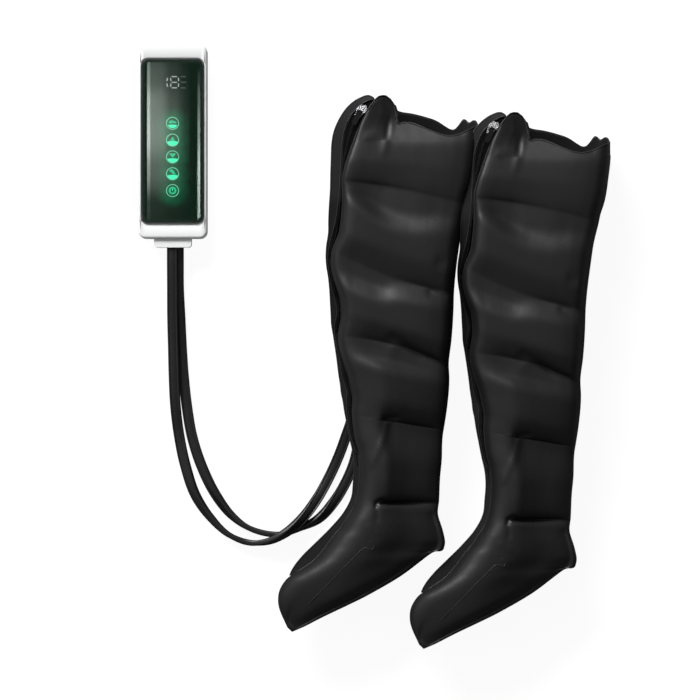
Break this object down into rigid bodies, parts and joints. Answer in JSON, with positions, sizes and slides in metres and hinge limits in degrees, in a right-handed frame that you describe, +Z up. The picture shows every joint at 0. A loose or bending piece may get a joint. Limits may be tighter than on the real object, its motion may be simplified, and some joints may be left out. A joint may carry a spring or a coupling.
{
  "type": "air compression leg and foot massager",
  "caption": "Two inflatable chambered leg and foot boots, each with a side zipper, joined by flat air hoses and a plug to a hand controller with a glass touch front.",
  "frame": {"origin": "centre of the bounding box of the boots and the controller, on the floor", "axes": "+X to the right of the layout, +Y along the boots from the toes to the mouths, +Z up from the floor"},
  "size_m": [0.707, 0.906, 0.1236],
  "materials": {
    "white_shell": "glossy white",
    "dark_glass": "glossy, almost black, with a green tint",
    "circuit_board": "satin green board",
    "digit_light": "lit segments, pale white",
    "green_light": "lit line signs, green",
    "steel": "bright steel",
    "cell_wrap": "glossy wrap",
    "grey_plastic": "matt grey",
    "brass": "turned",
    "orange_rubber": "matt",
    "clear_tube": "milky, glossy",
    "coil_wire": "lacquered wire",
    "black_rubber": "satin black",
    "black_hose": "glossy black",
    "coated_cloth": "satin charcoal coated cloth",
    "edge_cloth": "satin dark grey coated cloth",
    "zip_tape": "matt black tape",
    "zip_teeth": "black moulded teeth",
    "slider_metal": "nickel plated"
  },
  "bodies": {
    "boots": {"left_chamber_1": "coated_cloth", "left_chamber_2": "coated_cloth", "left_chamber_3": "coated_cloth", "left_chamber_4": "coated_cloth", "left_chamber_5": "coated_cloth", "left_foot_chamber": "coated_cloth", "left_cuff": "edge_cloth", "left_zipper_tape": "zip_tape", "left_zipper_teeth": "zip_teeth", "left_zip_flap": "edge_cloth", "left_air_inlet": "black_rubber", "right_chamber_1": "coated_cloth", "right_chamber_2": "coated_cloth", "right_chamber_3": "coated_cloth", "right_chamber_4": "coated_cloth", "right_chamber_5": "coated_cloth", "right_foot_chamber": "coated_cloth", "right_cuff": "edge_cloth", "right_zipper_tape": "zip_tape", "right_zipper_teeth": "zip_teeth", "right_zip_flap": "edge_cloth", "right_air_inlet": "black_rubber", "hose_plug": "white_shell", "hose_left": "black_hose", "hose_right": "black_hose"},
    "controller": {"back_shell": "white_shell", "front_frame": "white_shell", "glass_panel": "dark_glass", "display_board": "circuit_board", "digit_display": "digit_light", "touch_lights": "green_light", "main_board": "circuit_board", "charge_port": "steel", "battery_cells": "cell_wrap", "battery_tray": "grey_plastic", "pump_motor": "steel", "pump_case": "grey_plastic", "pump_diaphragm": "orange_rubber", "pump_head": "grey_plastic", "pump_tube": "clear_tube", "valve_block": "grey_plastic", "valve_coils": "coil_wire", "valve_tubes": "clear_tube", "hose_socket": "grey_plastic", "socket_seal": "black_rubber", "housing_screws": "steel"},
    "pump_rotor": {"pump_rotor": "brass"},
    "plunger_1": {"valve_plunger_1": "steel"},
    "plunger_2": {"valve_plunger_2": "steel"},
    "plunger_3": {"valve_plunger_3": "steel"},
    "plunger_4": {"valve_plunger_4": "steel"},
    "left_slider": {"left_zip_slider": "slider_metal"},
    "left_pull": {"left_pull_tab": "black_rubber"},
    "right_slider": {"right_zip_slider": "slider_metal"},
    "right_pull": {"right_pull_tab": "black_rubber"}
  },
  "joints": [
    {"name": "controller_pull_off", "type": "slide", "parent": "boots", "child": "controller", "axis": [0, 1, 0], "range_m": [0, 0.018]},
    {"name": "pump_spin", "type": "hinge", "parent": "controller", "child": "pump_rotor", "pos_m": [-0.302, 0.2575, 0.0148], "axis": [0, 1, 0], "continuous": true},
    {"name": "valve_lift_1", "type": "slide", "parent": "controller", "child": "plunger_1", "axis": [0, 0, 1], "range_m": [0, 0.0015], "stiffness_N_per_m": 60, "springref_m": -0.002},
    {"name": "valve_lift_2", "type": "slide", "parent": "controller", "child": "plunger_2", "axis": [0, 0, 1], "range_m": [0, 0.0015], "stiffness_N_per_m": 60, "springref_m": -0.002},
    {"name": "valve_lift_3", "type": "slide", "parent": "controller", "child": "plunger_3", "axis": [0, 0, 1], "range_m": [0, 0.0015], "stiffness_N_per_m": 60, "springref_m": -0.002},
    {"name": "valve_lift_4", "type": "slide", "parent": "controller", "child": "plunger_4", "axis": [0, 0, 1], "range_m": [0, 0.0015], "stiffness_N_per_m": 60, "springref_m": -0.002},
    {"name": "left_slider_run", "type": "slide", "parent": "boots", "child": "left_slider", "axis": [-0.4274, -0.9041, 0], "range_m": [0, 0.031]},
    {"name": "left_pull_swing", "type": "hinge", "parent": "left_slider", "child": "left_pull", "pos_m": [-0.02163, 0.34854, 0.1031], "axis": [-0.9041, 0.4274, 0], "range_deg": [0, 120]},
    {"name": "right_slider_run", "type": "slide", "parent": "boots", "child": "right_slider", "axis": [-0.4274, -0.9041, 0], "range_m": [0, 0.031]},
    {"name": "right_pull_swing", "type": "hinge", "parent": "right_slider", "child": "right_pull", "pos_m": [0.17587, 0.32304, 0.1031], "axis": [-0.9041, 0.4274, 0], "range_deg": [0, 120]}
  ]
}
